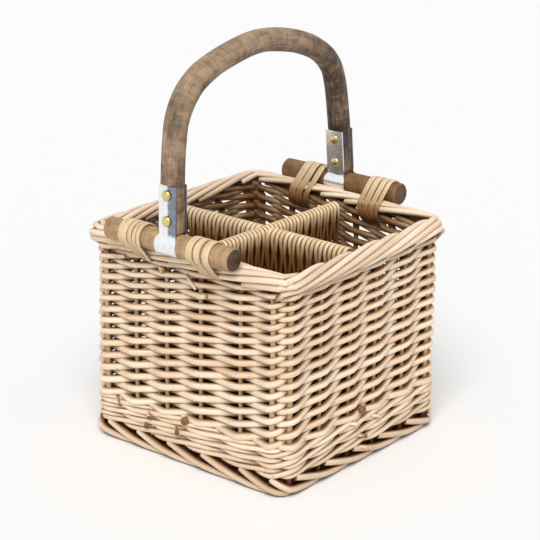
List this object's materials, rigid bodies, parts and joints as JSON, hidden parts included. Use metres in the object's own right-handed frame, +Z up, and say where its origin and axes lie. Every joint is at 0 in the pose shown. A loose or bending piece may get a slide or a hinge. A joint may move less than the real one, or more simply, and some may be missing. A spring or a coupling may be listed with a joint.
{
  "type": "wine bottle basket",
  "caption": "Square willow basket with crossed woven dividers for wine bottles and a bentwood bail strapped to two rods lashed on the rim.",
  "frame": {"origin": "middle of the footprint, on the surface the basket stands on", "axes": "+Z up; the front wall, which carries the front perch rod, faces -Y; the right wall faces +X; both perch rods run along X"},
  "size_m": [0.232, 0.2726, 0.3716],
  "materials": {
    "willow": "woven buff willow, satin",
    "willow_stakes": "peeled willow sticks, satin",
    "perch_wood": "bare brown stick, matt, darker sawn ends",
    "cane": "split cane, satin",
    "bail_wood": "steam-bent stick, matt, mottled grey-brown",
    "strap_metal": "bright thin sheet, hand bent",
    "rivet_brass": "domed heads, softly worn"
  },
  "bodies": {
    "basket": {"foot_border": "willow", "base_weave": "willow", "wale_front": "willow", "wale_right": "willow", "wale_back": "willow", "wale_left": "willow", "siding_front": "willow", "siding_right": "willow", "siding_back": "willow", "siding_left": "willow", "rim_front": "willow", "rim_right": "willow", "rim_back": "willow", "rim_left": "willow", "divider_long": "willow", "divider_cross": "willow", "stake_front_1": "willow_stakes", "stake_front_2": "willow_stakes", "stake_front_3": "willow_stakes", "stake_front_4": "willow_stakes", "stake_front_5": "willow_stakes", "stake_front_6": "willow_stakes", "stake_right_1": "willow_stakes", "stake_right_2": "willow_stakes", "stake_right_3": "willow_stakes", "stake_right_4": "willow_stakes", "stake_right_5": "willow_stakes", "stake_right_6": "willow_stakes", "stake_back_1": "willow_stakes", "stake_back_2": "willow_stakes", "stake_back_3": "willow_stakes", "stake_back_4": "willow_stakes", "stake_back_5": "willow_stakes", "stake_back_6": "willow_stakes", "stake_left_1": "willow_stakes", "stake_left_2": "willow_stakes", "stake_left_3": "willow_stakes", "stake_left_4": "willow_stakes", "stake_left_5": "willow_stakes", "stake_left_6": "willow_stakes", "base_stick_1": "willow_stakes", "base_stick_2": "willow_stakes", "base_stick_3": "willow_stakes", "divider_low_bar_long": "willow_stakes", "divider_low_bar_cross": "willow_stakes", "divider_top_bar_long": "willow_stakes", "divider_top_bar_cross": "willow_stakes", "front_rod": "perch_wood", "back_rod": "perch_wood", "front_lashing_left": "cane", "front_lashing_right": "cane", "back_lashing_left": "cane", "back_lashing_right": "cane"},
    "handle": {"bail": "bail_wood", "front_strap": "strap_metal", "back_strap": "strap_metal", "front_rivet_lower": "rivet_brass", "front_rivet_upper": "rivet_brass", "back_rivet_lower": "rivet_brass", "back_rivet_upper": "rivet_brass"}
  },
  "joints": [
    {"name": "handle_slide", "type": "slide", "parent": "basket", "child": "handle", "axis": [1, 0, 0], "range_m": [-0.0035, 0.012]}
  ]
}
